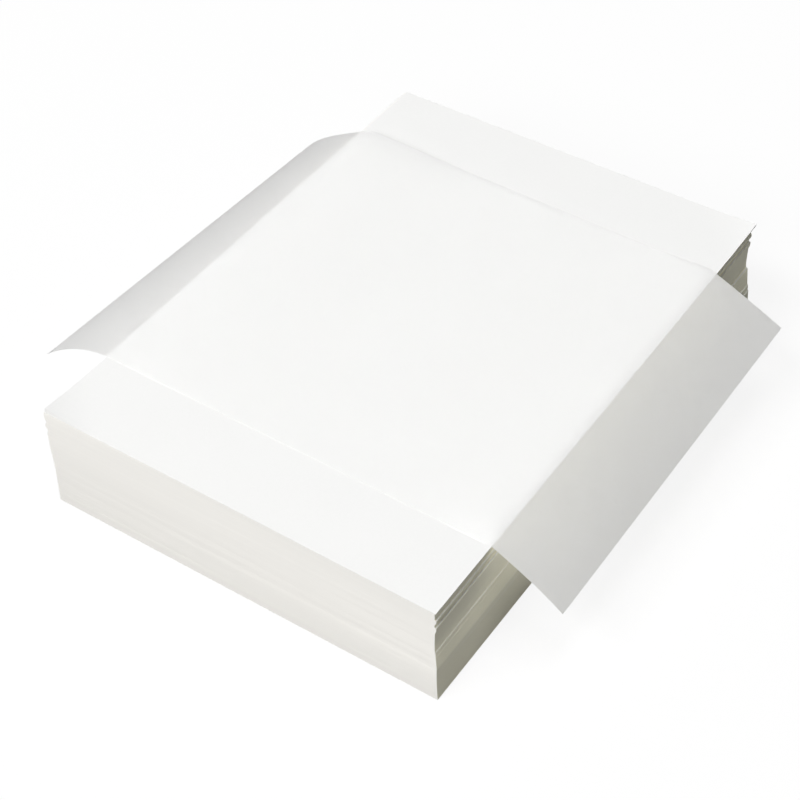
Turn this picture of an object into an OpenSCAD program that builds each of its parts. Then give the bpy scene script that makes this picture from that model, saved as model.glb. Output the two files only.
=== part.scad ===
// A pile of cut tissue paper with one loose sheet laid across its top.
// Millimetres. The origin is on the ground under the middle of the pile: X runs along the short
// side of the pile, Y along its long side towards the back, Z up.

/* [Paper] */
// Short side of a sheet
sheet_w = 210; // [120:1:320]
// Long side of a sheet
sheet_l = 297; // [250:1:420]
// Thickness given to the loose sheet
sheet_t = 0.2; // [0.1:0.05:0.4]

/* [Pile] */
// How much lower the right side of the pile lies than the left
fall_right = 3.2; // [0:0.1:6]
// How much higher the back of the pile lies than the front
rise_back = 4.3; // [0:0.1:8]
// How far the lowest sheets stand out on each side
foot_spread = 1.3; // [0:0.1:3]
// How far the lowest sheets have slid to the right
foot_slide_right = 0.9; // [0:0.1:3]
// How far the lowest sheets have slid to the back
foot_slide_back = 0.5; // [0:0.1:3]
// Height at which the pile starts to spread and slide towards its foot
spread_from = 36; // [20:1:50]
// Thickness of one layer of sheets that lie even with one another
layer_t = 1.1; // [0.8:0.1:2.5]
// How far a layer lies out of line with the next
layer_jog = 0.02; // [0:0.02:0.3]

/* [Base lift] */
// Thickness
base_lift_t = 16.9; // [6:0.1:40]
// Shift to the right
base_lift_x = 0.4; // [-3:0.1:3]
// Shift to the back
base_lift_y = 0; // [-3:0.1:3]
// Turn
base_lift_turn = -0.15; // [-0.6:0.05:0.6]

/* [Step lift] */
// Thickness
step_lift_t = 3.5; // [1:0.1:12]
// Shift to the right
step_lift_x = 0.2; // [-3:0.1:3]
// Shift to the back
step_lift_y = 0; // [-3:0.1:3]
// Turn
step_lift_turn = -0.05; // [-0.6:0.05:0.6]

/* [Lower lift] */
// Thickness
lower_lift_t = 10.5; // [4:0.1:30]
// Shift to the right at its foot
lower_lift_x = 0; // [-3:0.1:3]
// Shift to the back at its foot
lower_lift_y = 0.1; // [-3:0.1:3]
// How far its top has slid to the left
lower_slide_left = 0.5; // [0:0.1:3]
// How far its top has slid to the front
lower_slide_front = 0.1; // [0:0.1:3]
// Turn
lower_lift_turn = 0.05; // [-0.6:0.05:0.6]

/* [Main lift] */
// Thickness
main_lift_t = 13.7; // [6:0.1:40]
// Shift to the right
main_lift_x = -1.1; // [-3:0.1:3]
// Shift to the back
main_lift_y = 0; // [-3:0.1:3]
// Turn
main_lift_turn = 0.2; // [-0.6:0.05:0.6]

/* [Ledge lift] */
// Thickness
ledge_lift_t = 3; // [1:0.1:8]
// Shift to the right
ledge_lift_x = -0.5; // [-3:0.1:3]
// Shift to the back
ledge_lift_y = 0; // [-3:0.1:3]
// Turn
ledge_lift_turn = 0.2; // [-0.6:0.05:0.6]

/* [Recessed lift] */
// Thickness
recessed_lift_t = 2.7; // [1:0.1:12]
// Shift to the right
recessed_lift_x = -1.6; // [-3:0.1:3]
// Shift to the back
recessed_lift_y = 0.1; // [-3:0.1:3]
// Turn
recessed_lift_turn = 0.3; // [-0.6:0.05:0.6]

/* [Upper lift] */
// Thickness
upper_lift_t = 2.4; // [1:0.1:8]
// Shift to the right
upper_lift_x = -0.5; // [-3:0.1:3]
// Shift to the back
upper_lift_y = 0; // [-3:0.1:3]
// Turn
upper_lift_turn = 0.2; // [-0.6:0.05:0.6]

/* [Shoulder lift] */
// Thickness
shoulder_lift_t = 4.7; // [1:0.1:12]
// Shift to the right
shoulder_lift_x = -1.2; // [-3:0.1:3]
// Shift to the back
shoulder_lift_y = 0; // [-3:0.1:3]
// Turn
shoulder_lift_turn = 0.2; // [-0.6:0.05:0.6]

/* [Top sheets] */
// Thickness
top_sheets_t = 0.9; // [0.5:0.1:6]
// Shift to the right
top_sheets_x = 0; // [-3:0.1:3]
// Shift to the back
top_sheets_y = 0; // [-3:0.1:3]
// Turn
top_sheets_turn = 0; // [-0.6:0.05:0.6]

/* [Loose sheet] */
// How far back its near edge lies from the front of the pile
loose_setback = 43.2; // [5:0.1:80]
// How far it hangs over the left side, measured along the paper
loose_left = 45.5; // [20:0.1:60]
// Slope of the left flap where it leaves the pile, near end
left_near_root = 4; // [0:1:40]
// Slope of the left flap halfway out, near end
left_near_mid = 26; // [0:1:60]
// Slope of the left flap at its free edge, near end
left_near_tip = 42; // [0:1:80]
// Slope of the left flap where it leaves the pile, far end
left_far_root = 28; // [0:1:40]
// Slope of the left flap halfway out, far end
left_far_mid = 31; // [0:1:60]
// Slope of the left flap at its free edge, far end
left_far_tip = 52; // [0:1:80]
// Slope of the right flap where it leaves the pile, near end
right_near_root = 26; // [0:1:40]
// Slope of the right flap halfway out, near end
right_near_mid = 29; // [0:1:60]
// Slope of the right flap at its free edge, near end
right_near_tip = 38; // [0:1:80]
// Slope of the right flap where it leaves the pile, far end
right_far_root = 23; // [0:1:40]
// Slope of the right flap halfway out, far end
right_far_mid = 25; // [0:1:60]
// Slope of the right flap at its free edge, far end
right_far_tip = 27; // [0:1:80]

/* [Hidden] */

// Heights of the lifts' undersides at the middle of the pile
step_lift_z = base_lift_t;
lower_lift_z = step_lift_z + step_lift_t;
main_lift_z = lower_lift_z + lower_lift_t;
ledge_lift_z = main_lift_z + main_lift_t;
recessed_lift_z = ledge_lift_z + ledge_lift_t;
upper_lift_z = recessed_lift_z + recessed_lift_t;
shoulder_lift_z = upper_lift_z + upper_lift_t;
top_sheets_z = shoulder_lift_z + shoulder_lift_t;
pile_h = top_sheets_z + top_sheets_t;

// Layers of one lift reach this far into each other, so that they are one solid
layer_bond = 0.02;
// Degrees between the directions in which neighbouring layers lie out of line, and how many
// of these turns the pattern moves on from one lift to the next
jog_angle = 137.5;
jog_skip = 5;

// The loose sheet: its folds stand this far clear of the top sheets' edges
fold_gap = 0.05;
fold_clear = layer_jog + fold_gap;
fold_left = top_sheets_x - sheet_w / 2 - fold_clear;
fold_right = top_sheets_x + sheet_w / 2 + fold_clear;
loose_right = sheet_l - (fold_right - fold_left) - loose_left;
loose_near_y = loose_setback - sheet_l / 2;
flap_steps = 12;
flat_steps = 4;
row_steps = 10;

paper_white = [0.965, 0.962, 0.945];
edge_white = [0.93, 0.915, 0.885];
loose_white = [0.95, 0.955, 0.96];

// The sheets fan out a little from the ground up, so every height in the pile is a share of this
function lean(x, y) = 1 + (rise_back * y / sheet_l - fall_right * x / sheet_w) / pile_h;

// Share of the foot's spread and slide that the pile has at a height
function foot_share(z) = max(0, 1 - z / spread_from);

// Place of one layer out of line with its neighbours
function jog(n) = layer_jog * [cos(n * jog_angle), sin(n * jog_angle)];

// One even layer of sheets between two heights: its upper and lower faces follow the pile's lean
module layer(low, high, shift, turn) {
    half_w = sheet_w / 2 + foot_spread * foot_share(high);
    half_l = sheet_l / 2 + foot_spread * foot_share(high);
    place = shift + foot_share(high) * [foot_slide_right, foot_slide_back];
    corners = [for (c = [[-1, -1], [1, -1], [1, 1], [-1, 1]])
        [c[0] * half_w * cos(turn) - c[1] * half_l * sin(turn) + place[0],
         c[0] * half_w * sin(turn) + c[1] * half_l * cos(turn) + place[1]]];
    points = [for (z = [low, high], c = corners) [c[0], c[1], z * lean(c[0], c[1])]];
    polyhedron(points, [[0, 1, 2, 3], [7, 6, 5, 4], [4, 5, 1, 0], [5, 6, 2, 1], [6, 7, 3, 2], [7, 4, 0, 3]]);
}

// A lift, by its number from the ground: even layers, one on the other, whose places slide from its foot to its top
module lift(number, foot, thick, shift, turn, slide = [0, 0]) {
    count = max(1, round(thick / layer_t));
    step = thick / count;
    for (i = [0:count - 1])
        layer(foot + i * step - (i > 0 ? layer_bond : 0), foot + (i + 1) * step,
              shift + slide * (i + 0.5) / count + jog(number * jog_skip + i), turn);
}

module base_lift() {
    color(edge_white) lift(0, 0, base_lift_t, [base_lift_x, base_lift_y], base_lift_turn);
}

module step_lift() {
    color(edge_white) lift(1, step_lift_z, step_lift_t, [step_lift_x, step_lift_y], step_lift_turn);
}

module lower_lift() {
    color(edge_white)
        lift(2, lower_lift_z, lower_lift_t, [lower_lift_x, lower_lift_y], lower_lift_turn,
             [-lower_slide_left, -lower_slide_front]);
}

module main_lift() {
    color(edge_white) lift(3, main_lift_z, main_lift_t, [main_lift_x, main_lift_y], main_lift_turn);
}

module ledge_lift() {
    color(paper_white) lift(4, ledge_lift_z, ledge_lift_t, [ledge_lift_x, ledge_lift_y], ledge_lift_turn);
}

module recessed_lift() {
    color(edge_white)
        lift(5, recessed_lift_z, recessed_lift_t, [recessed_lift_x, recessed_lift_y], recessed_lift_turn);
}

module upper_lift() {
    color(paper_white) lift(6, upper_lift_z, upper_lift_t, [upper_lift_x, upper_lift_y], upper_lift_turn);
}

module shoulder_lift() {
    color(edge_white)
        lift(7, shoulder_lift_z, shoulder_lift_t, [shoulder_lift_x, shoulder_lift_y], shoulder_lift_turn);
}

module top_sheets() {
    color(paper_white) lift(8, top_sheets_z, top_sheets_t, [top_sheets_x, top_sheets_y], top_sheets_turn);
}

// Slope of a flap at a share of its length, from its slopes at the root, the middle and the tip
function flap_slope(a, share) =
    let (bow = 2 * a[1] - (a[0] + a[2]) / 2)
    a[0] * pow(1 - share, 2) + 2 * bow * share * (1 - share) + a[2] * pow(share, 2);

// Way out and way down along a flap of the given length, up to one of its steps
function flap_out(a, len, i) =
    i == 0 ? 0 : flap_out(a, len, i - 1) + len / flap_steps * cos(flap_slope(a, (i - 0.5) / flap_steps));
function flap_down(a, len, i) =
    i == 0 ? 0 : flap_down(a, len, i - 1) + len / flap_steps * sin(flap_slope(a, (i - 0.5) / flap_steps));

// Slopes of the flaps at a share of the way from the near end to the far end
function left_slopes(v) =
    [left_near_root, left_near_mid, left_near_tip] * (1 - v)
    + [left_far_root, left_far_mid, left_far_tip] * v;
function right_slopes(v) =
    [right_near_root, right_near_mid, right_near_tip] * (1 - v)
    + [right_far_root, right_far_mid, right_far_tip] * v;

// Height of the top of the pile
function top_z(x, y) = pile_h * lean(x, y);

// One crosswise row of the loose sheet, as points of its underside and the slope there, left to right
function sheet_row(v) =
    let (y = loose_near_y + v * sheet_w, left = left_slopes(v), right = right_slopes(v))
    concat(
        [for (i = [flap_steps:-1:1])
            [fold_left - flap_out(left, loose_left, i), y,
             top_z(fold_left, y) - flap_down(left, loose_left, i), flap_slope(left, i / flap_steps)]],
        [for (i = [0:flat_steps])
            let (x = fold_left + (fold_right - fold_left) * i / flat_steps) [x, y, top_z(x, y), 0]],
        [for (i = [1:flap_steps])
            [fold_right + flap_out(right, loose_right, i), y,
             top_z(fold_right, y) - flap_down(right, loose_right, i), -flap_slope(right, i / flap_steps)]]);

// Underside and upper side of a point of a row
function under(p) = [p[0], p[1], p[2]];
function over(p) = [p[0] - sheet_t * sin(p[3]), p[1], p[2] + sheet_t * cos(p[3])];

module loose_sheet() {
    rows = [for (j = [0:row_steps]) sheet_row(j / row_steps)];
    n = 2 * flap_steps + flat_steps + 1;
    upper_start = n * (row_steps + 1);
    points = concat([for (r = rows, p = r) under(p)], [for (r = rows, p = r) over(p)]);
    // Both broad faces, each cell as two triangles, and the four edges between them
    cells = [for (j = [0:row_steps - 1], i = [0:n - 2]) j * n + i];
    broad = concat(
        [for (k = cells) [k, k + 1, k + n + 1]],
        [for (k = cells) [k, k + n + 1, k + n]],
        [for (k = cells) upper_start * [1, 1, 1] + [k, k + n + 1, k + 1]],
        [for (k = cells) upper_start * [1, 1, 1] + [k, k + n, k + n + 1]]);
    near_edge = [for (i = [0:n - 2]) [i, i + 1]];
    far_edge = [for (i = [n - 1:-1:1]) [row_steps * n + i, row_steps * n + i - 1]];
    left_edge = [for (j = [row_steps:-1:1]) [j * n, (j - 1) * n]];
    right_edge = [for (j = [0:row_steps - 1]) [j * n + n - 1, (j + 1) * n + n - 1]];
    rim = concat(near_edge, right_edge, far_edge, left_edge);
    sides = concat(
        [for (e = rim) [e[0], e[0] + upper_start, e[1] + upper_start]],
        [for (e = rim) [e[0], e[1] + upper_start, e[1]]]);
    color(loose_white) polyhedron(points, concat(broad, sides));
}

base_lift();
step_lift();
lower_lift();
main_lift();
ledge_lift();
recessed_lift();
upper_lift();
shoulder_lift();
top_sheets();
loose_sheet();
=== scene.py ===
import math

import bmesh
import bpy
import numpy as np
from mathutils import Matrix, Vector, noise


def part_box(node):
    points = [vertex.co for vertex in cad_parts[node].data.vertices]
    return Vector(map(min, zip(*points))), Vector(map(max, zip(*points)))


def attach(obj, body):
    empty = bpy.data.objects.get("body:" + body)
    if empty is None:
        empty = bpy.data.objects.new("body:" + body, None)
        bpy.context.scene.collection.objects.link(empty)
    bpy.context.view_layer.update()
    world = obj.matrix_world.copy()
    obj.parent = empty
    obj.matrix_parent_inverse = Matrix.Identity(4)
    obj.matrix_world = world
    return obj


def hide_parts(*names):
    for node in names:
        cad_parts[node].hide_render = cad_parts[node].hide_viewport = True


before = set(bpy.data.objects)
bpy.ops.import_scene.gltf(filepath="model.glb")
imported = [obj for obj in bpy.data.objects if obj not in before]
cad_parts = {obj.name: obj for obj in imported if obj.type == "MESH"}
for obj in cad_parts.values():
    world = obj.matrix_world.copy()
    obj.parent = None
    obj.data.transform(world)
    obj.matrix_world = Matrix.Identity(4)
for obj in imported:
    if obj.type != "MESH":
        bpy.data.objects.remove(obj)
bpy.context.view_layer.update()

bl_info = {
    "name": "Tissue Paper Pile",
    "version": (1, 0, 0),
    "blender": (4, 5, 0),
    "location": "View3D > Sidebar > Paper",
    "description": "Finishes a pile of cut tissue paper: its lifts, its top sheets and the loose sheet on it",
    "category": "Add Mesh",
}

MM = 0.001
SHORT_SIDE, LONG_SIDE = 210 * MM, 297 * MM
LIFTS = ("base_lift", "step_lift", "lower_lift", "main_lift", "ledge_lift", "recessed_lift",
         "upper_lift", "shoulder_lift")
# The pile's sides: the corners where each starts and ends, as signs of X and Y, and its outward direction
SIDES = {
    "front": ((-1, -1), (1, -1), Vector((0, -1, 0))),
    "right": ((1, -1), (1, 1), Vector((1, 0, 0))),
    "back": ((1, 1), (-1, 1), Vector((0, 1, 0))),
    "left": ((-1, 1), (-1, -1), Vector((-1, 0, 0))),
}
WALL, FACE = 0, 1

# The corners are followed in steps of this height, and evened out over this many steps up and down
RUN_STEP, RUN_REACH = 0.1 * MM, 80
# Lengths are counted in this unit where they drive a ripple, and each use of ripples has its own seed
RIPPLE_UNIT = 100 * MM
SIDE_SEED, FAST_SEED = 17.3, 5.1
# A side sways in slow ripples and in fast ones, which are closer in height and not as deep
SWAY_SLOW, SWAY_FAST, FAST_HEIGHT, FAST_SHARE = 0.5, 1.3, 2.6, 0.3
RIDGE_SEED, JOG_SEEDS = 3.7, (1.5, 9.5)
SHEET_SEED, SHIFT_SEEDS = 2.3, (4.5, 8.5)
TOP_SHEETS_FIRST_RIDGE = 400
# Broad and fine creases: how closely they lie side by side and follow one another, and their seed
CREASES = (4.2, 0.9, 31.0), (9.0, 1.6, 47.0)
# They have their full height a twelfth of the sheet's depth in from its near and far edges
CREASE_ENDS = 12

# Noise per metre: along and up the cut edges, in X, Y and Z on the faces, across and back on the tissue
SHEET_LINES = (14, 9000, 1)
PACK_LINES = (5, 900, 1)
EDGE_CLOUDS = (18, 60, 1)
FACE_CLOUDS = (30, 30, 30)
FACE_FIBRES = (900, 900, 900)
TISSUE_CLOUDS = (260, 170, 1)
TISSUE_FIBRES = (1500, 700, 1)
# Noise between these values fills the whole range of a shade
NOISE_LOW, NOISE_HIGH = 0.3, 0.7


# Settings

class PileSettings(bpy.types.PropertyGroup):
    ridge: bpy.props.FloatProperty(
        name="Ridge", description="Thickness of the sheets that lie even with one another in the cut edges",
        default=0.3 * MM, subtype="DISTANCE")
    ridge_jog: bpy.props.FloatProperty(
        name="Ridge jog", description="How far a ridge lies out of line with its neighbours",
        default=0.005 * MM, subtype="DISTANCE")
    stagger: bpy.props.FloatProperty(
        name="Stagger",
        description="Height over which the left and right edges step from one lift to the next",
        default=0.2 * MM, subtype="DISTANCE")
    long_stagger: bpy.props.FloatProperty(
        name="Long stagger", description="The same for the front and back edges, which were knocked flush",
        default=3 * MM, subtype="DISTANCE")
    sway: bpy.props.FloatProperty(
        name="Sway", description="How far small packs of sheets stand in and out of a side",
        default=0.02 * MM, subtype="DISTANCE")
    sway_height: bpy.props.FloatProperty(
        name="Sway height", description="Height of these packs", default=3.2 * MM, subtype="DISTANCE")
    short_steps: bpy.props.IntProperty(
        name="Short steps", description="Steps along a short side", default=30)
    long_steps: bpy.props.IntProperty(
        name="Long steps", description="Steps along a long side", default=42)


class TopSheetSettings(bpy.types.PropertyGroup):
    sheets: bpy.props.IntProperty(
        name="Sheets", description="Single sheets on the top of the pile", default=3)
    sheet_t: bpy.props.FloatProperty(
        name="Thickness", description="Thickness of each of these sheets",
        default=0.1 * MM, subtype="DISTANCE")
    curl_front_left: bpy.props.FloatProperty(
        name="Front left curl", description="How far the top sheet's front left corner stands up",
        default=1.8 * MM, subtype="DISTANCE")
    curl_back_right: bpy.props.FloatProperty(
        name="Back right curl", description="How far the top sheet's back right corner stands up",
        default=1.3 * MM, subtype="DISTANCE")
    curl_reach: bpy.props.FloatProperty(
        name="Curl reach", description="How far in from a corner its curl starts",
        default=22 * MM, subtype="DISTANCE")
    tip_back_right: bpy.props.FloatProperty(
        name="Back right tip",
        description="How far the top sheets' back right corner is drawn out over the pile",
        default=0.7 * MM, subtype="DISTANCE")
    curl_spread: bpy.props.FloatProperty(
        name="Curl spread", description="Power by which the curl grows from the lowest sheet to the top one",
        default=1.5)
    shift: bpy.props.FloatProperty(
        name="Shift", description="How far each sheet is shifted on the one below",
        default=0.08 * MM, subtype="DISTANCE")
    fill: bpy.props.FloatProperty(
        name="Fill", description="Share of a sheet's room that its paper takes, the rest being air",
        default=0.9, subtype="FACTOR", min=0, max=1)
    columns: bpy.props.IntProperty(
        name="Columns", description="Steps from the left edge to the right edge", default=56)
    rows: bpy.props.IntProperty(
        name="Rows", description="Steps from the front edge to the back edge", default=80)


class LooseSheetSettings(bpy.types.PropertyGroup):
    width: bpy.props.FloatProperty(
        name="Width", description="Long side of the sheet, which lies across the pile",
        default=LONG_SIDE, subtype="DISTANCE")
    depth: bpy.props.FloatProperty(
        name="Depth", description="Short side of the sheet", default=SHORT_SIDE, subtype="DISTANCE")
    thickness: bpy.props.FloatProperty(
        name="Thickness", description="Thickness of the sheet", default=0.06 * MM, subtype="DISTANCE")
    hang_left: bpy.props.FloatProperty(
        name="Hang left", description="Length of paper that hangs over the left side",
        default=45.5 * MM, subtype="DISTANCE")
    fold_clear: bpy.props.FloatProperty(
        name="Fold clearance", description="Gap between a hanging flap and the side of the pile at its fold",
        default=0.07 * MM, subtype="DISTANCE")
    left_near: bpy.props.FloatVectorProperty(
        name="Left near slopes", description="Slopes of the left flap's near end: root, middle and tip",
        default=[math.radians(a) for a in (4, 26, 42)], subtype="EULER")
    left_far: bpy.props.FloatVectorProperty(
        name="Left far slopes", description="Slopes of the left flap's far end: root, middle and tip",
        default=[math.radians(a) for a in (28, 31, 52)], subtype="EULER")
    right_near: bpy.props.FloatVectorProperty(
        name="Right near slopes", description="Slopes of the right flap's near end: root, middle and tip",
        default=[math.radians(a) for a in (26, 29, 38)], subtype="EULER")
    right_far: bpy.props.FloatVectorProperty(
        name="Right far slopes", description="Slopes of the right flap's far end: root, middle and tip",
        default=[math.radians(a) for a in (23, 25, 27)], subtype="EULER")
    bend_left: bpy.props.FloatProperty(
        name="Left bend", description="How far inside the left side the sheet starts to bend down",
        default=11 * MM, subtype="DISTANCE")
    bend_right: bpy.props.FloatProperty(
        name="Right bend", description="How far inside the right side the sheet starts to bend down",
        default=5 * MM, subtype="DISTANCE")
    gap: bpy.props.FloatProperty(
        name="Gap", description="Gap between the sheet and the pile where it lies flat",
        default=0.02 * MM, subtype="DISTANCE")
    settled: bpy.props.FloatProperty(
        name="Settled edge", description="How far in from its near edge the sheet lies closer to the pile",
        default=9 * MM, subtype="DISTANCE")
    crease: bpy.props.FloatProperty(
        name="Crease", description="Height of the soft creases in the sheet",
        default=0.12 * MM, subtype="DISTANCE")
    columns: bpy.props.IntProperty(
        name="Columns", description="Steps across the sheet", default=198)
    rows: bpy.props.IntProperty(
        name="Rows", description="Steps from its near edge to its far edge", default=105)
    far_rise: bpy.props.FloatProperty(
        name="Far rise", description="How far the sheet's far end stays off the pile beside the left bend",
        default=0.9 * MM, subtype="DISTANCE")
    sink_left: bpy.props.FloatProperty(
        name="Left sink", description="Length over which the sheet sinks onto the pile from the left bend",
        default=70 * MM, subtype="DISTANCE")
    sink_right: bpy.props.FloatProperty(
        name="Right sink", description="Length over which it sinks onto the pile from the right bend",
        default=30 * MM, subtype="DISTANCE")
    fade_out: bpy.props.FloatProperty(
        name="Fade out",
        description="How far from the left fold its lift stays whole; it is gone at twice as far",
        default=80 * MM, subtype="DISTANCE")
    settled_share: bpy.props.FloatProperty(
        name="Settled share", description="Share of its lift that the sheet keeps at its near edge",
        default=0.1, subtype="FACTOR", min=0, max=1)
    crease_inset: bpy.props.FloatProperty(
        name="Crease inset", description="How far from its folds the sheet has its full creases",
        default=25 * MM, subtype="DISTANCE")


class FinishSettings(bpy.types.PropertyGroup):
    edge: bpy.props.FloatVectorProperty(
        name="Cut edges", description="Colour of the cut edges", default=(0.98, 0.962, 0.922),
        subtype="COLOR", min=0, max=1)
    # Painted shade tint: the cut edges on the right, the side in shade, are painted a warmer yellow for the
    # warm light that falls there
    edge_painted_shade_tint: bpy.props.FloatVectorProperty(
        name="Aged edges", description="Colour of the cut edges on the right, which have yellowed more",
        default=(0.98, 0.955, 0.80), subtype="COLOR", min=0, max=1)
    # Painted shade: the cut edges are painted darker towards the ground, for the shade that falls near the
    # floor
    foot_painted_shade: bpy.props.FloatProperty(
        name="Foot shade", description="Share of their brightness that the cut edges keep at the ground",
        default=0.90, subtype="FACTOR", min=0, max=1)
    foot_painted_shade_height: bpy.props.FloatProperty(
        name="Foot shade height", description="Height at which the cut edges have their full brightness",
        default=42 * MM, subtype="DISTANCE")
    # The lowest lifts on the right are painted darker: partly their own tone, partly painted shade
    right_foot_tone_and_painted_shade: bpy.props.FloatProperty(
        name="Aged foot",
        description="Share of their brightness that the aged edges of the lowest lifts keep",
        default=0.88, subtype="FACTOR", min=0, max=1)
    face: bpy.props.FloatVectorProperty(
        name="Sheets", description="Colour of the sheets' faces", default=(0.895, 0.895, 0.885),
        subtype="COLOR", min=0, max=1)
    tissue: bpy.props.FloatVectorProperty(
        name="Tissue", description="Colour of the loose sheet", default=(0.998, 0.998, 0.997),
        subtype="COLOR", min=0, max=1)
    light_through: bpy.props.FloatProperty(
        name="Light through", description="Share of the light that one face of the loose sheet lets through",
        default=0.60, subtype="FACTOR", min=0, max=1)
    mottle: bpy.props.FloatProperty(
        name="Mottle", description="How far that share varies with the thickness of the fibres",
        default=0.10, subtype="FACTOR", min=0, max=1)
    cloud_share: bpy.props.FloatProperty(
        name="Cloud share", description="Share of the mottle that the large clouds have",
        default=0.3, subtype="FACTOR", min=0, max=1)
    # The band where the darker foot on the right, partly painted shade, gives way to the edges above it
    foot_band: bpy.props.FloatProperty(
        name="Foot band", description="Height over which the aged foot gives way to the edges above it",
        default=1.2 * MM, subtype="DISTANCE")
    roughness: bpy.props.FloatProperty(
        name="Roughness", description="Roughness of the paper", default=0.9, subtype="FACTOR", min=0, max=1)
    sheen: bpy.props.FloatProperty(
        name="Sheen", description="Strength of the paper's mirror-like reflection",
        default=0.2, subtype="FACTOR", min=0, max=1)
    sheet_shade: bpy.props.FloatProperty(
        name="Sheet shade", description="Brightness of the darkest single sheets in the cut edges",
        default=0.982, subtype="FACTOR", min=0, max=1)
    pack_shade: bpy.props.FloatProperty(
        name="Pack shade", description="Brightness of the darkest small packs in the cut edges",
        default=0.985, subtype="FACTOR", min=0, max=1)
    edge_cloud_shade: bpy.props.FloatProperty(
        name="Edge cloud shade", description="Brightness of the darkest clouds in the cut edges",
        default=0.99, subtype="FACTOR", min=0, max=1)
    face_cloud_shade: bpy.props.FloatProperty(
        name="Face cloud shade", description="Brightness of the darkest clouds in the sheets' faces",
        default=0.992, subtype="FACTOR", min=0, max=1)
    fibre_shade: bpy.props.FloatProperty(
        name="Fibre shade", description="Brightness of the darkest fibres in the sheets' faces",
        default=0.985, subtype="FACTOR", min=0, max=1)
    edge_relief: bpy.props.FloatProperty(
        name="Edge relief", description="Depth of the fine lines in the cut edges",
        default=0.03 * MM, subtype="DISTANCE")
    edge_relief_share: bpy.props.FloatProperty(
        name="Edge relief share", description="Share of that depth that shows", default=0.1,
        subtype="FACTOR", min=0, max=1)
    face_relief: bpy.props.FloatProperty(
        name="Face relief", description="Depth of the fibres in the sheets' faces",
        default=0.02 * MM, subtype="DISTANCE")
    face_relief_share: bpy.props.FloatProperty(
        name="Face relief share", description="Share of that depth that shows", default=0.15,
        subtype="FACTOR", min=0, max=1)


class StageSettings(bpy.types.PropertyGroup):
    camera_place: bpy.props.FloatVectorProperty(
        name="Camera", description="Place of the camera", default=(0.35364, -0.54374, 0.61910),
        subtype="TRANSLATION")
    camera_yaw: bpy.props.FloatProperty(
        name="Yaw", description="Turn of the camera about Z", default=math.radians(33.87), subtype="ANGLE")
    camera_pitch: bpy.props.FloatProperty(
        name="Pitch", description="How far the camera looks down", default=math.radians(43.60),
        subtype="ANGLE")
    camera_roll: bpy.props.FloatProperty(
        name="Roll", description="Turn of the camera about its own axis", default=math.radians(0.43),
        subtype="ANGLE")
    lens: bpy.props.FloatProperty(
        name="Lens", description="Focal length on a 36 mm sensor, in millimetres", default=80.70)
    key_place: bpy.props.FloatVectorProperty(
        name="Key light", description="Place of the key light, over the front to the left",
        default=(-2.0, -4.39, 6.38), subtype="TRANSLATION")
    key_watts: bpy.props.FloatProperty(
        name="Key power", description="Power of the key light, in watts", default=374.0)
    overhead_place: bpy.props.FloatVectorProperty(
        name="Overhead light", description="Place of the light above the pile", default=(0.4, 0.0, 8.0),
        subtype="TRANSLATION")
    overhead_watts: bpy.props.FloatProperty(
        name="Overhead power", description="Power of the overhead light, in watts", default=220.0)
    front_place: bpy.props.FloatVectorProperty(
        name="Front light", description="Place of the low light in front", default=(0.41, -6.89, 4.05),
        subtype="TRANSLATION")
    front_watts: bpy.props.FloatProperty(
        name="Front power", description="Power of the low light in front, in watts", default=222.0)
    panel_width: bpy.props.FloatProperty(
        name="Panel width", description="Width of each light's panel", default=4.2, subtype="DISTANCE")
    panel_height: bpy.props.FloatProperty(
        name="Panel height", description="Height of each light's panel", default=2.0, subtype="DISTANCE")
    ambient: bpy.props.FloatVectorProperty(
        name="Ambient", description="Light from all round", default=(0.08, 0.08, 0.08), subtype="COLOR")
    floor_bounce: bpy.props.FloatVectorProperty(
        name="Floor bounce", description="Colour of the light that the floor sends back",
        default=(0.35, 0.35, 0.345), subtype="COLOR")
    floor_lit: bpy.props.FloatVectorProperty(
        name="Lit floor", description="Colour of the floor's lit share where it is seen",
        default=(0.95, 0.95, 0.95), subtype="COLOR")
    floor_white: bpy.props.FloatProperty(
        name="Floor white", description="Share of the seen floor that is plain white, whatever falls on it",
        default=0.86, subtype="FACTOR", min=0, max=1)
    floor_half: bpy.props.FloatProperty(
        name="Floor half", description="Half of the floor's side", default=4.0, subtype="DISTANCE")
    floor_drop: bpy.props.FloatProperty(
        name="Floor drop", description="How far the floor lies under the ground",
        default=0.05 * MM, subtype="DISTANCE")


SETTINGS = {
    "paper_pile": PileSettings,
    "paper_top_sheets": TopSheetSettings,
    "paper_loose_sheet": LooseSheetSettings,
    "paper_finish": FinishSettings,
    "paper_stage": StageSettings,
}


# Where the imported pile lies

def node_points(name):
    return np.array([v.co[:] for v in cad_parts[name].data.vertices])


def in_corner(points, signs):
    return points[(points[:, 0] * signs[0] > 0) & (points[:, 1] * signs[1] > 0)]


def pile_top():
    """The plane of the pile's top: its height at the middle, and its rise per metre to the right and back."""
    points = node_points("top_sheets")
    highest = [max(in_corner(points, corners[0]), key=lambda p: p[2]) for corners in SIDES.values()]
    return np.linalg.lstsq([[1, p[0], p[1]] for p in highest], [p[2] for p in highest], rcond=None)[0]


PILE_H, RISE_RIGHT, RISE_BACK = pile_top()


def lean(x, y):
    """The sheets fan out from the ground, so a level of the pile has this share of its middle height here."""
    return 1 + (RISE_RIGHT * x + RISE_BACK * y) / PILE_H


def top_z(x, y):
    return PILE_H * lean(x, y)


def corner_runs(name):
    """For each corner of a lift: the levels of its points from the ground up, and their X and Y."""
    runs = {}
    points = node_points(name)
    for signs, _, _ in SIDES.values():
        mine = in_corner(points, signs)
        levels = mine[:, 2] / lean(mine[:, 0], mine[:, 1])
        order = np.argsort(levels)
        runs[signs] = levels[order], mine[order, 0], mine[order, 1]
    return runs


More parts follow.
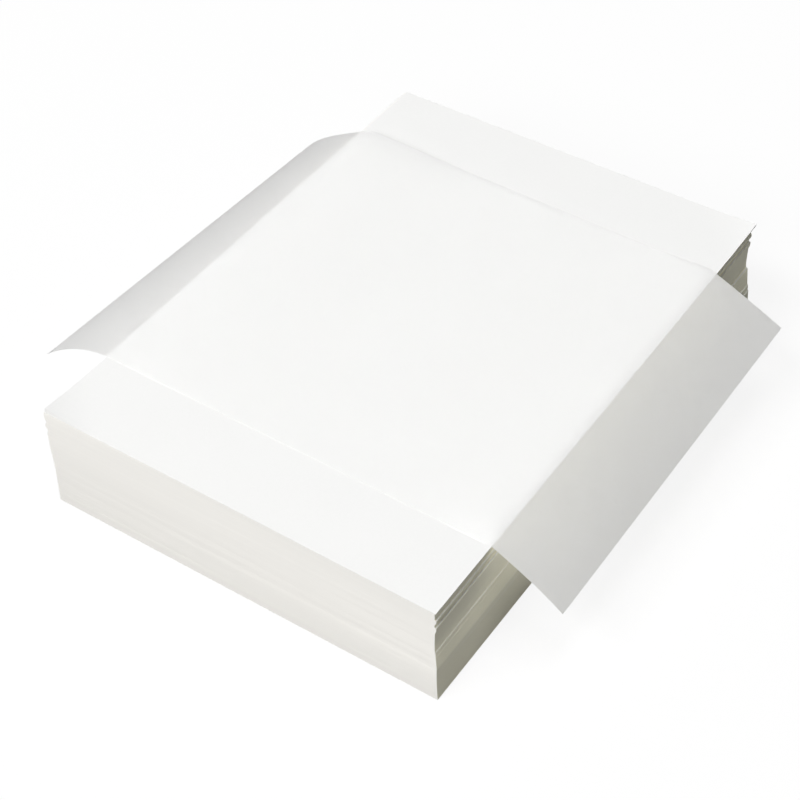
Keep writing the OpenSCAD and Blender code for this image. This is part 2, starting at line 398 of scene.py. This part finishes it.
def corner_at(runs, signs, level):
    levels, xs, ys = runs[signs]
    return Vector((np.interp(level, levels, xs), np.interp(level, levels, ys), 0))


def levels_of(name):
    """The lowest and the highest level of a lift."""
    levels = np.concatenate([run[0] for run in corner_runs(name).values()])
    return float(levels.min()), float(levels.max())


TOP_RUNS = corner_runs("top_sheets")


def staggered_runs(pile):
    """The corners of the whole pile, with each step between lifts spread over some sheets of both."""
    levels = np.arange(RUN_STEP / 2, PILE_H, RUN_STEP)
    away = np.arange(-RUN_REACH, RUN_REACH + 1) * RUN_STEP
    weights = [np.exp(-0.5 * (away / stagger) ** 2) for stagger in (pile.stagger, pile.long_stagger)]
    lifts = [(corner_runs(name), levels_of(name)[1]) for name in (*LIFTS, "top_sheets")]
    runs = {}
    for signs, _, _ in SIDES.values():
        spots = []
        for level in levels:
            lift = next(run for run, top in lifts if level < top + RUN_STEP)
            spots.append(corner_at(lift, signs, level))
        padded = [np.pad([spot[axis] for spot in spots], RUN_REACH, mode="edge") for axis in (0, 1)]
        runs[signs] = levels, *(np.convolve(run, weight / weight.sum(), mode="valid")
                                for run, weight in zip(padded, weights))
    return runs


# Meshes

def ripple(*at):
    """A smooth value from about -1 to 1 that depends on the place alone, so it is the same in every run."""
    return noise.noise(Vector(at)) * 2


def side_number(side):
    """Each side's place in SIDES, from 0 at the front."""
    return list(SIDES).index(side)


def side_length(side):
    start, end, _ = SIDES[side]
    return (corner_at(TOP_RUNS, end, PILE_H) - corner_at(TOP_RUNS, start, PILE_H)).length


def side_columns(pile):
    """The steps round a pile, as side and share along it, with the first one again at the end."""
    columns = []
    for side in SIDES:
        steps = pile.short_steps if side in ("front", "back") else pile.long_steps
        columns += [(side, step / steps) for step in range(steps)]
    return columns + [("front", 0.0)]


def edge_sway(pile, side, share, level):
    """How far the small pack at this level stands out of a side here."""
    along = share * (SHORT_SIDE if side in ("front", "back") else LONG_SIDE) / RIPPLE_UNIT
    seed = side_number(side) * SIDE_SEED
    slow = ripple(along * SWAY_SLOW, level / pile.sway_height, seed)
    fast = ripple(along * SWAY_FAST, level / pile.sway_height * FAST_HEIGHT, seed + FAST_SEED)
    return pile.sway * (slow + FAST_SHARE * fast)


def add_wall(bm, pile, rings, place):
    """A wall of paper round the pile. rings gives each ring's level and ridge, place gives a point of it."""
    columns = side_columns(pile)
    grid = bmesh.ops.create_grid(bm, x_segments=len(columns) - 1, y_segments=len(rings) - 1, size=1)
    spots = {v: (round((v.co.x + 1) / 2 * (len(columns) - 1)), round((v.co.y + 1) / 2 * (len(rings) - 1)))
             for v in grid["verts"]}
    uv = bm.loops.layers.uv.verify()
    faces = {f for v in grid["verts"] for f in v.link_faces}
    for f in faces:
        f.material_index = WALL
        side = columns[min(spots[v][0] for v in f.verts)][0]
        for corner in f.loops:
            column, row = spots[corner.vert]
            share = columns[column][1] if columns[column][0] == side else 1.0
            corner[uv].uv = side_number(side) + share * side_length(side), rings[row][0]
    for v, (column, row) in spots.items():
        v.co = place(*columns[column], row)
    seam = [v for v, (column, row) in spots.items() if column in (0, len(columns) - 1)]
    bmesh.ops.remove_doubles(bm, verts=seam, dist=1e-8)
    rims = bmesh.ops.edgeloop_fill(bm, edges=[e for e in bm.edges if e.is_boundary])
    for cap in rims["faces"]:
        cap.material_index = FACE


def jog(seed, seeds):
    """A small sideways step, each way from its own smooth ripple."""
    return Vector((ripple(seed, seeds[0], 0), ripple(seed, seeds[1], 0), 0))


def add_block(bm, pile, runs, foot, top, first_ridge):
    """The cut stack between two levels of the pile, ridge upon ridge. Returns how many ridges it has."""
    count = max(1, round((top - foot) / pile.ridge))
    step = (top - foot) / count
    rings = [(foot + (ridge + end) * step, ridge) for ridge in range(count) for end in (0, 1)]

    def place(side, share, row):
        level, ridge = rings[row]
        middle = foot + (ridge + 0.5) * step
        turn = first_ridge + ridge
        start, end, out = SIDES[side]
        spot = corner_at(runs, start, middle).lerp(corner_at(runs, end, middle), share)
        spot += pile.ridge_jog * jog(turn * RIDGE_SEED, JOG_SEEDS)
        spot += out * edge_sway(pile, side, share, middle)
        if share == 0:
            before = list(SIDES)[side_number(side) - 1]
            spot += SIDES[before][2] * edge_sway(pile, before, 1.0, middle)
        spot.z = level * lean(spot.x, spot.y)
        return spot

    add_wall(bm, pile, rings, place)
    return count


def finish_mesh(bm, name, materials):
    bmesh.ops.recalc_face_normals(bm, faces=bm.faces[:])
    mesh = bpy.data.meshes.new(name)
    bm.to_mesh(mesh)
    bm.free()
    for material in materials:
        mesh.materials.append(material)
    piece = bpy.data.objects.new(name, mesh)
    bpy.context.scene.collection.objects.link(piece)
    return piece


# Materials

def new_material(name):
    material = bpy.data.materials.new(name)
    material.use_nodes = True
    material.node_tree.nodes.clear()
    return material, material.node_tree.nodes, material.node_tree.links


def add_node(nodes, kind, **values):
    node = nodes.new(kind)
    for key, value in values.items():
        setattr(node, key, value)
    return node


def add_noise(nodes, links, coordinates, stretch, detail, roughness=0.5):
    mapping = nodes.new("ShaderNodeMapping")
    mapping.inputs["Scale"].default_value = stretch
    links.new(coordinates, mapping.inputs["Vector"])
    texture = nodes.new("ShaderNodeTexNoise")
    texture.inputs["Scale"].default_value = 1.0
    texture.inputs["Detail"].default_value = detail
    texture.inputs["Roughness"].default_value = roughness
    links.new(mapping.outputs["Vector"], texture.inputs["Vector"])
    return texture.outputs["Fac"]


def shade_range(nodes, links, value, low, high):
    """Spreads a noise value's middle part over low to high."""
    spread = add_node(nodes, "ShaderNodeMapRange")
    spread.inputs["From Min"].default_value = NOISE_LOW
    spread.inputs["From Max"].default_value = NOISE_HIGH
    spread.inputs["To Min"].default_value = low
    spread.inputs["To Max"].default_value = high
    links.new(value, spread.inputs["Value"])
    return spread.outputs["Result"]


def times(nodes, links, first, second):
    product = add_node(nodes, "ShaderNodeMath", operation="MULTIPLY")
    links.new(first, product.inputs[0])
    links.new(second, product.inputs[1])
    return product.outputs[0]


def tinted(nodes, links, colour, shade):
    """A colour, fixed or from a socket, darkened by a shade value."""
    tint = add_node(nodes, "ShaderNodeVectorMath", operation="SCALE")
    if isinstance(colour, bpy.types.NodeSocket):
        links.new(colour, tint.inputs[0])
    else:
        tint.inputs[0].default_value = colour
    links.new(shade, tint.inputs["Scale"])
    return tint.outputs["Vector"]


def add_bump(nodes, links, height, strength, distance):
    bump = nodes.new("ShaderNodeBump")
    bump.inputs["Strength"].default_value = strength
    bump.inputs["Distance"].default_value = distance
    links.new(height, bump.inputs["Height"])
    return bump.outputs["Normal"]


def paper_shader(nodes, finish):
    shader = nodes.new("ShaderNodeBsdfPrincipled")
    shader.inputs["Roughness"].default_value = finish.roughness
    shader.inputs["Specular IOR Level"].default_value = finish.sheen
    return shader


def show_surface(nodes, links, surface):
    output = nodes.new("ShaderNodeOutputMaterial")
    links.new(surface, output.inputs["Surface"])


def edge_material(finish):
    """Cut edges: long thin lines of single sheets and of small packs, in a warm white, with painted shade
    towards the ground and a yellower painted shade tint on the right side.
    """
    material, nodes, links = new_material("cut_edges")
    uv = nodes.new("ShaderNodeUVMap").outputs["UV"]
    sheets = add_noise(nodes, links, uv, SHEET_LINES, 2)
    packs = add_noise(nodes, links, uv, PACK_LINES, 2)
    clouds = add_noise(nodes, links, uv, EDGE_CLOUDS, 2)
    shade = times(nodes, links, shade_range(nodes, links, sheets, finish.sheet_shade, 1.0),
                  shade_range(nodes, links, packs, finish.pack_shade, 1.0))
    shade = times(nodes, links, shade, shade_range(nodes, links, clouds, finish.edge_cloud_shade, 1.0))
    # Painted shade: the cut edges darken towards the ground, up to the foot shade height
    foot = add_node(nodes, "ShaderNodeMapRange")
    foot.inputs["From Max"].default_value = finish.foot_painted_shade_height
    foot.inputs["To Min"].default_value = finish.foot_painted_shade
    level = nodes.new("ShaderNodeSeparateXYZ")
    links.new(uv, level.inputs["Vector"])
    links.new(level.outputs["Y"], foot.inputs["Value"])
    # The right side's lowest lifts are darker: partly their own tone, partly painted shade
    foot_top = levels_of("lower_lift")[0]
    right_foot_tone_and_painted_shade = add_node(nodes, "ShaderNodeMapRange")
    right_foot_tone_and_painted_shade.inputs["From Min"].default_value = foot_top - finish.foot_band
    right_foot_tone_and_painted_shade.inputs["From Max"].default_value = foot_top
    right_foot_tone_and_painted_shade.inputs["To Min"].default_value = finish.right_foot_tone_and_painted_shade
    links.new(level.outputs["Y"], right_foot_tone_and_painted_shade.inputs["Value"])
    # A side's UV starts at its own whole number, so this reach about its middle holds the right side alone
    half = side_length("right") / 2
    right_side_mask = add_node(nodes, "ShaderNodeMath", operation="COMPARE")
    right_side_mask.inputs[1].default_value = side_number("right") + half
    right_side_mask.inputs[2].default_value = half + 1 * MM
    links.new(level.outputs["X"], right_side_mask.inputs[0])
    # The right side takes the yellower painted shade tint, the other sides the plain edge colour
    colour = add_node(nodes, "ShaderNodeMix", data_type="RGBA")
    links.new(tinted(nodes, links, finish.edge, foot.outputs["Result"]), colour.inputs["A"])
    links.new(tinted(nodes, links, finish.edge_painted_shade_tint, right_foot_tone_and_painted_shade.outputs["Result"]), colour.inputs["B"])
    links.new(right_side_mask.outputs[0], colour.inputs["Factor"])
    shader = paper_shader(nodes, finish)
    links.new(tinted(nodes, links, colour.outputs["Result"], shade), shader.inputs["Base Color"])
    relief = add_bump(nodes, links, sheets, finish.edge_relief_share, finish.edge_relief)
    links.new(relief, shader.inputs["Normal"])
    show_surface(nodes, links, shader.outputs["BSDF"])
    return material


def face_material(finish):
    """Faces of the sheets in the pile: plain white with a very fine formation."""
    material, nodes, links = new_material("sheet_faces")
    spot = nodes.new("ShaderNodeTexCoord").outputs["Object"]
    clouds = add_noise(nodes, links, spot, FACE_CLOUDS, 3)
    fibres = add_noise(nodes, links, spot, FACE_FIBRES, 3, roughness=0.6)
    shade = times(nodes, links, shade_range(nodes, links, clouds, finish.face_cloud_shade, 1.0),
                  shade_range(nodes, links, fibres, finish.fibre_shade, 1.0))
    shader = paper_shader(nodes, finish)
    links.new(tinted(nodes, links, finish.face, shade), shader.inputs["Base Color"])
    relief = add_bump(nodes, links, fibres, finish.face_relief_share, finish.face_relief)
    links.new(relief, shader.inputs["Normal"])
    show_surface(nodes, links, shader.outputs["BSDF"])
    return material


def tissue_material(finish):
    """The loose sheet: thin paper that lets light through, cloudy where its fibres lie thicker."""
    material, nodes, links = new_material("tissue")
    uv = nodes.new("ShaderNodeUVMap").outputs["UV"]
    clouds = add_noise(nodes, links, uv, TISSUE_CLOUDS, 3, roughness=0.6)
    fibres = add_noise(nodes, links, uv, TISSUE_FIBRES, 3, roughness=0.65)
    cloudy = finish.cloud_share * finish.mottle
    let_through = add_node(nodes, "ShaderNodeMath", operation="ADD")
    links.new(shade_range(nodes, links, clouds, finish.light_through - cloudy,
                          finish.light_through + cloudy), let_through.inputs[0])
    links.new(shade_range(nodes, links, fibres, -finish.mottle, finish.mottle), let_through.inputs[1])
    front = paper_shader(nodes, finish)
    front.inputs["Specular IOR Level"].default_value = 0.0
    front.inputs["Base Color"].default_value = (*finish.tissue, 1)
    through = nodes.new("ShaderNodeBsdfTranslucent")
    through.inputs["Color"].default_value = (*finish.tissue, 1)
    mix = nodes.new("ShaderNodeMixShader")
    links.new(let_through.outputs[0], mix.inputs["Fac"])
    links.new(front.outputs["BSDF"], mix.inputs[1])
    links.new(through.outputs["BSDF"], mix.inputs[2])
    show_surface(nodes, links, mix.outputs["Shader"])
    return material


def paper_materials():
    """The materials of the cut edges and of the faces, made once and shared."""
    finish = bpy.context.scene.paper_finish
    return [bpy.data.materials.get("cut_edges") or edge_material(finish),
            bpy.data.materials.get("sheet_faces") or face_material(finish)]


# Pieces

class PAPER_OT_lifts(bpy.types.Operator):
    """Add the lifts of the pile, with the ridges of their cut edges"""
    bl_idname = "paper_pile.lifts"
    bl_label = "Add lifts"

    def execute(self, context):
        pile = context.scene.paper_pile
        runs = staggered_runs(pile)
        ridges = 0
        for name in LIFTS:
            bm = bmesh.new()
            foot, top = levels_of(name)
            ridges += add_block(bm, pile, runs, foot, top, ridges)
            piece = finish_mesh(bm, name.replace("lift", "sheets"), paper_materials())
            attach(piece, "root")
            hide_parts(name)
        return {"FINISHED"}


def corner_curl(top_sheets, spot, corners):
    """How far a corner of the top sheet stands up at a spot."""
    rise = 0.0
    for signs, height in (((-1, -1), top_sheets.curl_front_left), ((1, 1), top_sheets.curl_back_right)):
        inwards = (corners[signs] - spot).dot(Vector((*signs, 0)).normalized())
        rise += height * max(0.0, 1 - inwards / top_sheets.curl_reach) ** 2
    return rise


def add_top_sheet(bm, top_sheets, number):
    """One whole sheet on the top of the pile, with its curled corners."""
    level = PILE_H - (top_sheets.sheets - number) * top_sheets.sheet_t
    corners = {signs: corner_at(TOP_RUNS, signs, PILE_H) for signs, _, _ in SIDES.values()}
    corners[1, 1] += top_sheets.tip_back_right * Vector((1, 1, 0)).normalized()
    shift = top_sheets.shift * jog(number * SHEET_SEED, SHIFT_SEEDS)
    curl_share = ((number + 1) / top_sheets.sheets) ** top_sheets.curl_spread
    grid = bmesh.ops.create_grid(bm, x_segments=top_sheets.columns, y_segments=top_sheets.rows, size=0.5)
    for v in grid["verts"]:
        across, along = v.co.x + 0.5, v.co.y + 0.5
        front = corners[-1, -1].lerp(corners[1, -1], across)
        back = corners[-1, 1].lerp(corners[1, 1], across)
        spot = front.lerp(back, along) + shift
        spot.z = level * lean(spot.x, spot.y) + corner_curl(top_sheets, spot, corners) * curl_share
        v.co = spot
    faces = list({f for v in grid["verts"] for f in v.link_faces})
    for f in faces:
        f.material_index = FACE
    bmesh.ops.recalc_face_normals(bm, faces=faces)
    bmesh.ops.solidify(bm, geom=faces, thickness=-top_sheets.sheet_t * top_sheets.fill)


class PAPER_OT_top_sheets(bpy.types.Operator):
    """Add the top sheets of the pile, with their curled corners"""
    bl_idname = "paper_pile.top_sheets"
    bl_label = "Add top sheets"

    def execute(self, context):
        pile, top_sheets = context.scene.paper_pile, context.scene.paper_top_sheets
        bm = bmesh.new()
        foot, top = levels_of("top_sheets")
        block_top = top - top_sheets.sheets * top_sheets.sheet_t
        add_block(bm, pile, staggered_runs(pile), foot, block_top, TOP_SHEETS_FIRST_RIDGE)
        for number in range(top_sheets.sheets):
            add_top_sheet(bm, top_sheets, number)
        piece = finish_mesh(bm, "uppermost_sheets", paper_materials())
        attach(piece, "root")
        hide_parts("top_sheets")
        return {"FINISHED"}


def blended_slopes(near, far, along):
    return [a + (b - a) * along for a, b in zip(near, far)]


def flap_run(slopes, length):
    """The way out and the way down along a flap, as lists over its distance from the fold."""
    root, middle, tip = slopes
    steps = 160
    share = (np.arange(steps) + 0.5) / steps
    bow = 2 * middle - (root + tip) / 2
    slope = root * (1 - share) ** 2 + 2 * bow * share * (1 - share) + tip * share ** 2
    out = np.concatenate([[0], np.cumsum(np.cos(slope))]) * length / steps
    down = np.concatenate([[0], np.cumsum(np.sin(slope))]) * length / steps
    return np.linspace(0, length, steps + 1), out, down


def bend_height(inside, slope, reach, rest, fade):
    """Height of the sheet above the pile at a way inside a fold: it rises over the bend and sinks to rest."""
    crest = math.tan(slope) * reach / 2
    if inside < reach:
        return math.tan(slope) * inside * (1 - inside / (2 * reach))
    sink = min(1.0, (inside - reach) / fade)
    return crest + (rest - crest) * sink * sink * (3 - 2 * sink)


def flap_spot(run, fold, way, beyond, y):
    """X and Z of a flap's point at a length beyond its fold. way is -1 for the left flap, 1 for the right."""
    lengths, out, down = run
    return fold + way * np.interp(beyond, lengths, out), top_z(fold, y) - np.interp(beyond, lengths, down)


class PAPER_OT_loose_sheet(bpy.types.Operator):
    """Add the loose sheet of tissue that lies across the pile"""
    bl_idname = "paper_pile.loose_sheet"
    bl_label = "Add loose sheet"

    def execute(self, context):
        sheet = context.scene.paper_loose_sheet
        near_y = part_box("loose_sheet")[0].y
        fold_left = corner_at(TOP_RUNS, (-1, -1), PILE_H).x - sheet.fold_clear
        fold_right = corner_at(TOP_RUNS, (1, -1), PILE_H).x + sheet.fold_clear
        hang_right = sheet.width - (fold_right - fold_left) - sheet.hang_left
        bm = bmesh.new()
        uv = bm.loops.layers.uv.verify()
        grid = bmesh.ops.create_grid(bm, x_segments=sheet.columns, y_segments=sheet.rows, size=0.5)
        for f in bm.faces:
            for corner in f.loops:
                flat = corner.vert.co
                corner[uv].uv = (flat.x + 0.5) * sheet.width, (flat.y + 0.5) * sheet.depth
        # The slopes and the runs of both flaps, worked out once for each row of the grid
        flaps = {}
        for v in grid["verts"]:
            paper, along = (v.co.x + 0.5) * sheet.width, v.co.y + 0.5
            y = near_y + along * sheet.depth
            row = round(along * sheet.rows)
            if row not in flaps:
                left = blended_slopes(sheet.left_near, sheet.left_far, along)
                right = blended_slopes(sheet.right_near, sheet.right_far, along)
                flaps[row] = left, flap_run(left, sheet.hang_left), right, flap_run(right, hang_right)
            left, left_run, right, right_run = flaps[row]
            from_left, from_right = paper - sheet.hang_left, sheet.width - hang_right - paper
            if from_left < 0:
                x, z = flap_spot(left_run, fold_left, -1, -from_left, y)
            elif from_right < 0:
                x, z = flap_spot(right_run, fold_right, 1, -from_right, y)
            else:
                x = fold_left + from_left
                z = top_z(x, y) + sheet_lift(sheet, from_left, from_right, along, left[0], right[0])
            v.co = x, y, z + sheet.gap
        bmesh.ops.recalc_face_normals(bm, faces=bm.faces[:])
        bmesh.ops.solidify(bm, geom=bm.faces[:], thickness=-sheet.thickness)
        piece = finish_mesh(bm, "loose_tissue_sheet", [tissue_material(context.scene.paper_finish)])
        for polygon in piece.data.polygons:
            polygon.use_smooth = True
        piece.data.set_sharp_from_angle(angle=math.radians(40))
        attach(piece, "root")
        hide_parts("loose_sheet")
        return {"FINISHED"}


def sheet_lift(sheet, from_left, from_right, along, left_slope, right_slope):
    """How far the loose sheet stands off the pile inside its folds."""
    rest = sheet.far_rise * along ** 6
    left = bend_height(from_left, left_slope, sheet.bend_left, rest, sheet.sink_left)
    left *= min(1.0, max(0.0, 2 - from_left / sheet.fade_out))
    right = bend_height(from_right, right_slope, sheet.bend_right, 0.0, sheet.sink_right)
    rising = min(1.0, along * sheet.depth / sheet.settled)
    settled = sheet.settled_share + (1 - sheet.settled_share) * rising
    return (max(0.0, left) + max(0.0, right)) * settled + sheet_crease(sheet, from_left, from_right, along)


def sheet_crease(sheet, from_left, from_right, along):
    """Height of the soft creases that run slantwise over the flat part of the sheet."""
    across, back = from_left / RIPPLE_UNIT, along * sheet.depth / RIPPLE_UNIT
    # The creases run 3 to the back for every 4 to the right
    slant, run = across * 0.8 + back * 0.6, back * 0.8 - across * 0.6
    broad, fine = (max(0.0, ripple(run * over, slant * on, seed)) for over, on, seed in CREASES)
    inside = min(1.0, from_left / sheet.crease_inset, from_right / sheet.crease_inset,
                 along * CREASE_ENDS, (1 - along) * CREASE_ENDS)
    return sheet.crease * (broad + 0.5 * fine) * max(0.0, inside)


# Stage

def view_rays(nodes, links):
    """1 for the rays that show the stage itself, 0 for those that carry its light to the paper."""
    path = nodes.new("ShaderNodeLightPath")
    shown = add_node(nodes, "ShaderNodeMath", operation="ADD")
    links.new(path.outputs["Is Camera Ray"], shown.inputs[0])
    links.new(path.outputs["Is Glossy Ray"], shown.inputs[1])
    passed = add_node(nodes, "ShaderNodeMath", operation="ADD")
    links.new(shown.outputs[0], passed.inputs[0])
    links.new(path.outputs["Is Transmission Ray"], passed.inputs[1])
    seen = add_node(nodes, "ShaderNodeMath", operation="SUBTRACT", use_clamp=True)
    links.new(passed.outputs[0], seen.inputs[0])
    links.new(path.outputs["Is Diffuse Ray"], seen.inputs[1])
    return seen.outputs[0]


def floor_material(stage):
    """White where it is seen, with the pile's shadow kept in part, and a softer bounce for the paper."""
    material, nodes, links = new_material("floor")
    seen = view_rays(nodes, links)
    colour = add_node(nodes, "ShaderNodeMix", data_type="RGBA")
    colour.inputs["A"].default_value = (*stage.floor_bounce, 1)
    colour.inputs["B"].default_value = (*stage.floor_lit, 1)
    links.new(seen, colour.inputs["Factor"])
    lit = nodes.new("ShaderNodeBsdfDiffuse")
    links.new(colour.outputs["Result"], lit.inputs["Color"])
    white = nodes.new("ShaderNodeEmission")
    white.inputs["Strength"].default_value = 1.0
    share = add_node(nodes, "ShaderNodeMath", operation="MULTIPLY")
    share.inputs[1].default_value = stage.floor_white
    links.new(seen, share.inputs[0])
    mix = nodes.new("ShaderNodeMixShader")
    links.new(share.outputs[0], mix.inputs["Fac"])
    links.new(lit.outputs["BSDF"], mix.inputs[1])
    links.new(white.outputs["Emission"], mix.inputs[2])
    show_surface(nodes, links, mix.outputs["Shader"])
    return material


def light_world(stage):
    """Even light from all round, and white where the camera looks past the floor."""
    world = bpy.data.worlds.new("studio")
    bpy.context.scene.world = world
    world.use_nodes = True
    nodes, links = world.node_tree.nodes, world.node_tree.links
    nodes.clear()
    seen = view_rays(nodes, links)
    colour = add_node(nodes, "ShaderNodeMix", data_type="RGBA")
    colour.inputs["A"].default_value = (*stage.ambient, 1)
    colour.inputs["B"].default_value = (1, 1, 1, 1)
    links.new(seen, colour.inputs["Factor"])
    sky = nodes.new("ShaderNodeBackground")
    links.new(colour.outputs["Result"], sky.inputs["Color"])
    output = nodes.new("ShaderNodeOutputWorld")
    links.new(sky.outputs["Background"], output.inputs["Surface"])


def add_soft_light(stage, name, place, watts):
    """A wide soft panel of light that faces the pile."""
    light = bpy.data.lights.new(name, "AREA")
    light.shape = "RECTANGLE"
    light.size, light.size_y = stage.panel_width, stage.panel_height
    light.energy = watts
    lamp = bpy.data.objects.new(name, light)
    lamp.location = place
    lamp.rotation_euler = Vector(place).to_track_quat("Z", "Y").to_euler()
    bpy.context.scene.collection.objects.link(lamp)


class PAPER_OT_stage(bpy.types.Operator):
    """Add the floor, the light and the camera"""
    bl_idname = "paper_pile.stage"
    bl_label = "Add stage"

    def execute(self, context):
        stage = context.scene.paper_stage
        bm = bmesh.new()
        bmesh.ops.create_grid(bm, x_segments=2, y_segments=2, size=stage.floor_half)
        bmesh.ops.translate(bm, verts=bm.verts[:], vec=(0, 0, -stage.floor_drop))
        floor = finish_mesh(bm, "floor", [floor_material(stage)])
        light_world(stage)
        add_soft_light(stage, "key", stage.key_place, stage.key_watts)
        add_soft_light(stage, "overhead", stage.overhead_place, stage.overhead_watts)
        add_soft_light(stage, "front", stage.front_place, stage.front_watts)
        data = bpy.data.cameras.new("camera")
        data.sensor_width = 36
        data.lens = stage.lens
        data.clip_start, data.clip_end = 0.01, 20
        camera = bpy.data.objects.new("camera", data)
        turn = (Matrix.Rotation(stage.camera_yaw, 4, "Z")
                @ Matrix.Rotation(math.pi / 2 - stage.camera_pitch, 4, "X")
                @ Matrix.Rotation(-stage.camera_roll, 4, "Z"))
        camera.matrix_world = Matrix.Translation(stage.camera_place) @ turn
        context.scene.collection.objects.link(camera)
        context.scene.camera = camera
        context.scene.view_settings.view_transform = "Standard"
        # Thin white paper sends light to and fro many times before it comes out
        context.scene.cycles.max_bounces = 32
        context.scene.cycles.diffuse_bounces = 16
        context.scene.cycles.transmission_bounces = 32
        return {"FINISHED"}


class PAPER_PT_panel(bpy.types.Panel):
    """Lists the pieces of the pile and their settings"""
    bl_label = "Tissue paper pile"
    bl_idname = "PAPER_PT_panel"
    bl_space_type = "VIEW_3D"
    bl_region_type = "UI"
    bl_category = "Paper"

    def draw(self, context):
        for operator in OPERATORS:
            self.layout.operator(operator.bl_idname)
        for name in SETTINGS:
            box = self.layout.box()
            settings = getattr(context.scene, name)
            for key in settings.bl_rna.properties.keys():
                if key not in ("rna_type", "name"):
                    box.prop(settings, key)


OPERATORS = (PAPER_OT_lifts, PAPER_OT_top_sheets, PAPER_OT_loose_sheet, PAPER_OT_stage)


def register():
    for name, group in SETTINGS.items():
        bpy.utils.register_class(group)
        setattr(bpy.types.Scene, name, bpy.props.PointerProperty(type=group))
    for operator in OPERATORS:
        bpy.utils.register_class(operator)
    bpy.utils.register_class(PAPER_PT_panel)


def unregister():
    bpy.utils.unregister_class(PAPER_PT_panel)
    for operator in reversed(OPERATORS):
        bpy.utils.unregister_class(operator)
    for name, group in reversed(SETTINGS.items()):
        delattr(bpy.types.Scene, name)
        bpy.utils.unregister_class(group)


def main():
    register()
    bpy.ops.paper_pile.lifts()
    bpy.ops.paper_pile.top_sheets()
    bpy.ops.paper_pile.loose_sheet()
    bpy.ops.paper_pile.stage()


if __name__ == "__main__":
    main()
